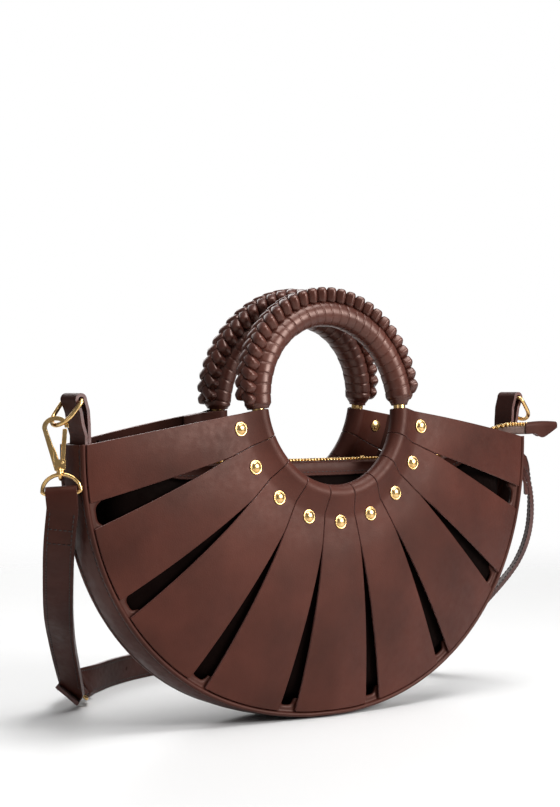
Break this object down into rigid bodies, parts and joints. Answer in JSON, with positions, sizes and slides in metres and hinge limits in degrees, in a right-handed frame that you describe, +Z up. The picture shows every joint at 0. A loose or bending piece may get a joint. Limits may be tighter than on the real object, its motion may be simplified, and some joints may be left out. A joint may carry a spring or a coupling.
{
  "type": "half-moon handbag",
  "caption": "Half-moon leather handbag of radial strips folded round two ring handles, with an inner zip pouch and a buckled shoulder strap on snap hooks.",
  "frame": {"origin": "on the floor under the middle of the gusset, where the bag rests", "axes": "+X to the right across the front panel, -Y out of the front panel, +Z up"},
  "size_m": [0.4033, 0.2379, 0.264],
  "materials": {
    "strip_leather": "smooth satin, painted edges",
    "handle_leather": "satin lace, wound and plaited",
    "gusset_leather": "smooth satin, stitched edges",
    "pouch_leather": "matt",
    "strap_leather": "smooth satin, stitched edges",
    "zip_tape": "woven tape with gold coloured teeth",
    "gold_metal": "polished pale gold"
  },
  "bodies": {
    "bag": {"front_strip_1": "strip_leather", "front_strip_2": "strip_leather", "front_strip_3": "strip_leather", "front_strip_4": "strip_leather", "front_strip_5": "strip_leather", "front_strip_6": "strip_leather", "front_strip_7": "strip_leather", "front_strip_8": "strip_leather", "front_strip_9": "strip_leather", "back_strip_1": "strip_leather", "back_strip_2": "strip_leather", "back_strip_3": "strip_leather", "back_strip_4": "strip_leather", "back_strip_5": "strip_leather", "back_strip_6": "strip_leather", "back_strip_7": "strip_leather", "back_strip_8": "strip_leather", "back_strip_9": "strip_leather", "front_rivet_1": "gold_metal", "front_rivet_2": "gold_metal", "front_rivet_3": "gold_metal", "front_rivet_4": "gold_metal", "front_rivet_5": "gold_metal", "front_rivet_6": "gold_metal", "front_rivet_7": "gold_metal", "front_rivet_8": "gold_metal", "front_rivet_9": "gold_metal", "back_rivet_1": "gold_metal", "back_rivet_2": "gold_metal", "back_rivet_3": "gold_metal", "back_rivet_4": "gold_metal", "back_rivet_5": "gold_metal", "back_rivet_6": "gold_metal", "back_rivet_7": "gold_metal", "back_rivet_8": "gold_metal", "back_rivet_9": "gold_metal", "front_ring": "gold_metal", "back_ring": "gold_metal", "front_handle_wrap": "handle_leather", "back_handle_wrap": "handle_leather", "gusset": "gusset_leather", "pouch": "pouch_leather", "zip": "zip_tape", "zip_slider": "gold_metal", "zip_end_tab": "strap_leather", "strap_short": "strap_leather", "strap_long": "strap_leather", "buckle_frame": "gold_metal", "buckle_prong": "gold_metal", "left_loop": "strap_leather", "left_d_ring": "gold_metal", "left_hook": "gold_metal", "left_strap_ring": "gold_metal", "right_loop": "strap_leather", "right_d_ring": "gold_metal", "right_hook": "gold_metal", "right_strap_ring": "gold_metal"},
    "left_gate": {"left_hook_gate": "gold_metal"},
    "right_gate": {"right_hook_gate": "gold_metal"}
  },
  "joints": [
    {"name": "left_gate_hinge", "type": "hinge", "parent": "bag", "child": "left_gate", "pos_m": [-0.18329, -0.00386, 0.16021], "axis": [-0.6122, -0.7867, 0.0787], "range_deg": [0, 12], "stiffness_Nm_per_rad": 0.02, "springref_deg": -5.73},
    {"name": "right_gate_hinge", "type": "hinge", "parent": "bag", "child": "right_gate", "pos_m": [0.18603, 0.02282, 0.16908], "axis": [0.6549, -0.6115, -0.444], "range_deg": [0, 12], "stiffness_Nm_per_rad": 0.02, "springref_deg": -5.73}
  ]
}
